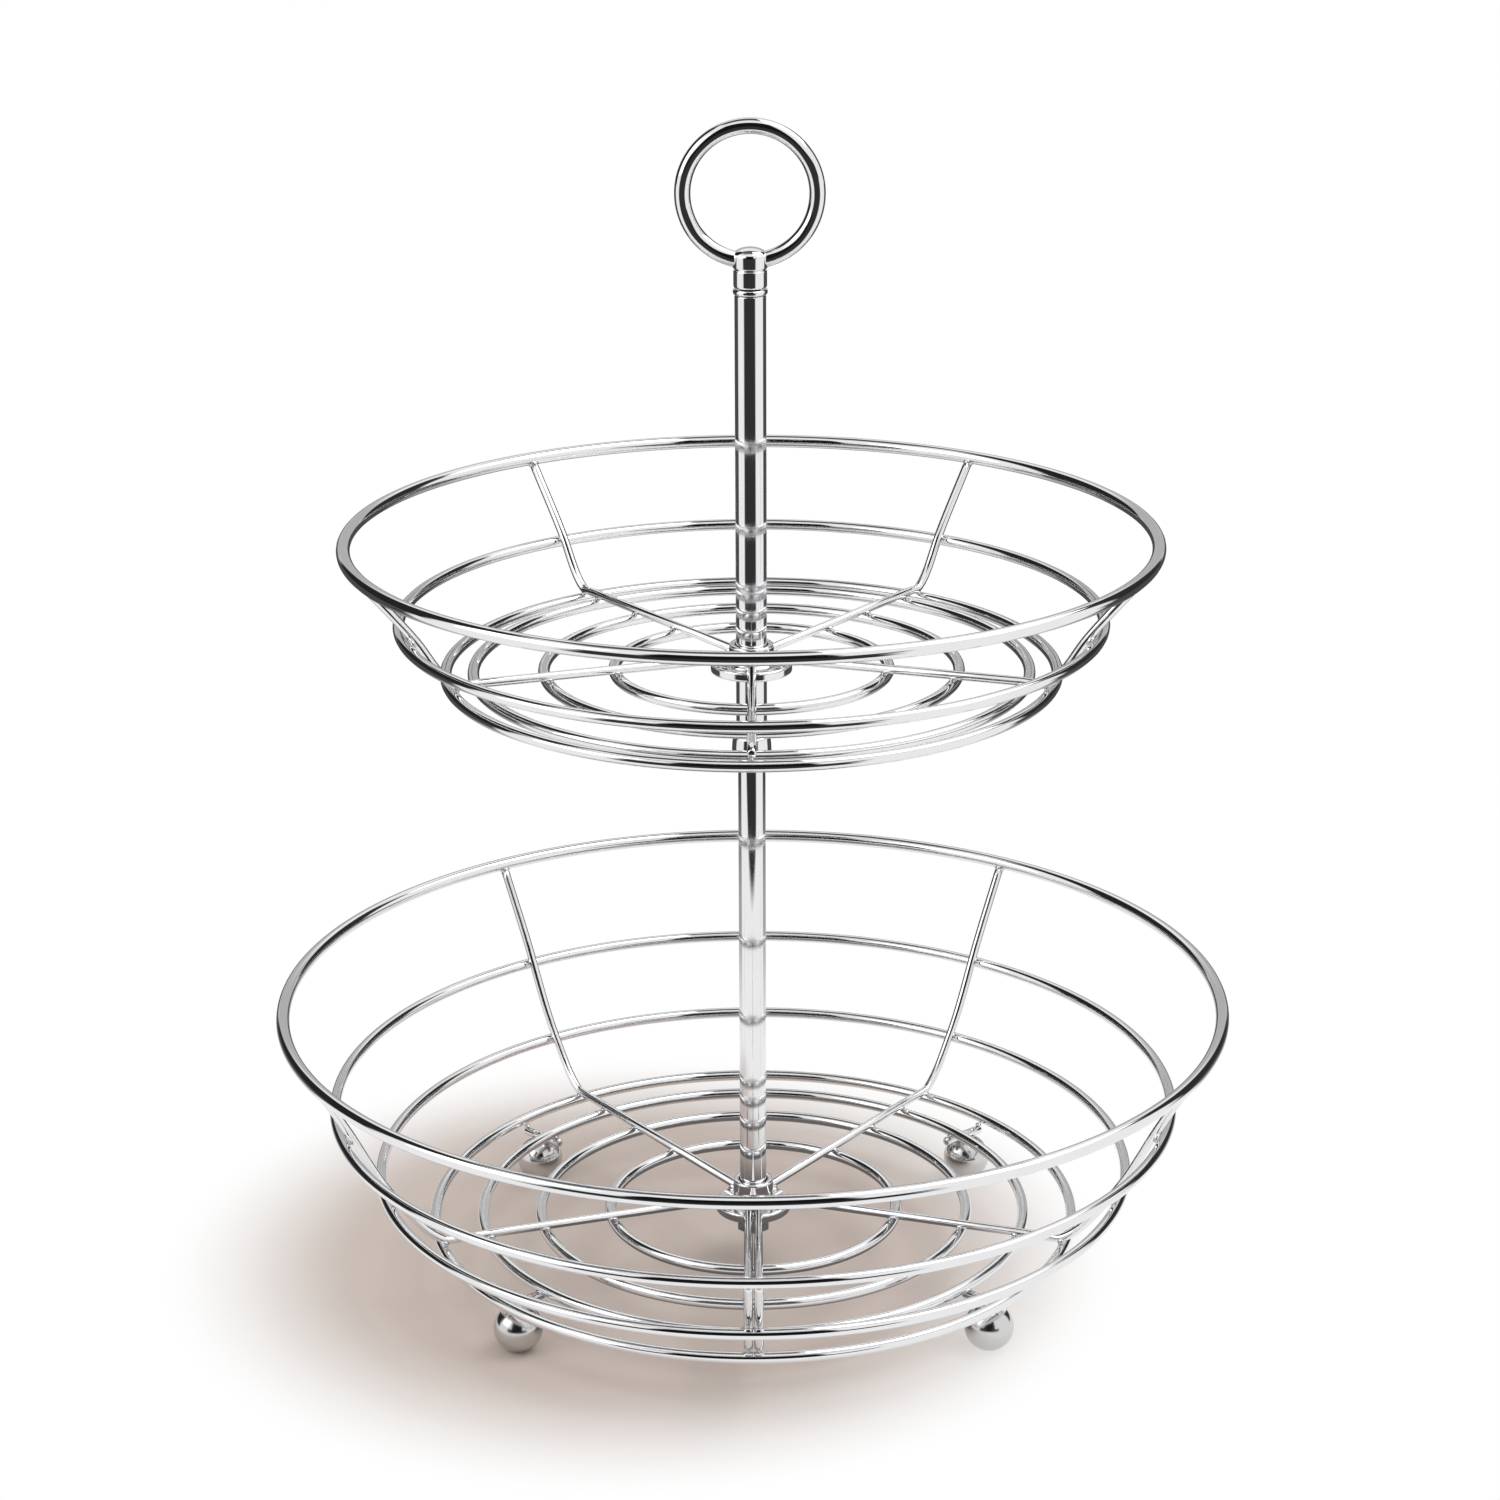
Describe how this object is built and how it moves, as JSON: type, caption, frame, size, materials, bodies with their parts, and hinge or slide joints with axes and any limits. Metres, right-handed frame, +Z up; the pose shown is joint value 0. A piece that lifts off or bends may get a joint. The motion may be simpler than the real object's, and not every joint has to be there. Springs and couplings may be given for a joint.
{
  "type": "two-tier fruit basket",
  "caption": "Free-standing chromed wire fruit basket: a wide lower bowl and a smaller upper bowl on a screwed pole with a ring handle and ball feet.",
  "frame": {"origin": "on the surface that the basket stands on, under the pole", "axes": "+Z up along the pole; the front, with the close pair of ribs, faces -Y; the ring handle lies in the XZ plane"},
  "size_m": [0.3042, 0.3042, 0.3749],
  "materials": {
    "chrome_rim": "bright chrome plate on steel wire",
    "chrome_ring": "bright chrome plate on steel wire",
    "chrome_rib": "bright chrome plate on steel wire",
    "chrome_pole": "bright chrome plate on steel tube and turned steel",
    "chrome_handle": "bright chrome plate on steel wire",
    "steel_foot": "polished steel ball, a little duller than the wires",
    "zinc_fastener": "zinc-plated steel"
  },
  "bodies": {
    "root": {"lower_rim": "chrome_rim", "lower_wall_ring": "chrome_ring", "lower_shoulder_ring": "chrome_ring", "lower_base_ring_1": "chrome_ring", "lower_base_ring_2": "chrome_ring", "lower_base_ring_3": "chrome_ring", "lower_base_ring_4": "chrome_ring", "lower_front_rib_left": "chrome_rib", "lower_front_rib_right": "chrome_rib", "lower_rib_1": "chrome_rib", "lower_rib_2": "chrome_rib", "lower_rib_3": "chrome_rib", "lower_rib_4": "chrome_rib", "lower_hub": "chrome_pole", "upper_rim": "chrome_rim", "upper_wall_ring": "chrome_ring", "upper_base_ring_1": "chrome_ring", "upper_base_ring_2": "chrome_ring", "upper_base_ring_3": "chrome_ring", "upper_base_ring_4": "chrome_ring", "upper_front_rib": "chrome_rib", "upper_rib_1": "chrome_rib", "upper_rib_2": "chrome_rib", "upper_rib_3": "chrome_rib", "upper_rib_4": "chrome_rib", "upper_hub": "chrome_pole", "lower_tube": "chrome_pole", "joint_collar": "chrome_pole", "upper_tube": "chrome_pole", "finial_bead": "chrome_pole", "finial": "chrome_pole", "handle_ring": "chrome_handle", "foot_bar_1": "chrome_rib", "foot_ball_1": "steel_foot", "foot_bar_2": "chrome_rib", "foot_ball_2": "steel_foot", "foot_bar_3": "chrome_rib", "foot_ball_3": "steel_foot", "foot_bar_4": "chrome_rib", "foot_ball_4": "steel_foot", "joint_stud": "zinc_fastener", "base_stud": "zinc_fastener", "base_washer": "zinc_fastener", "base_nut": "zinc_fastener"}
  },
  "joints": []
}
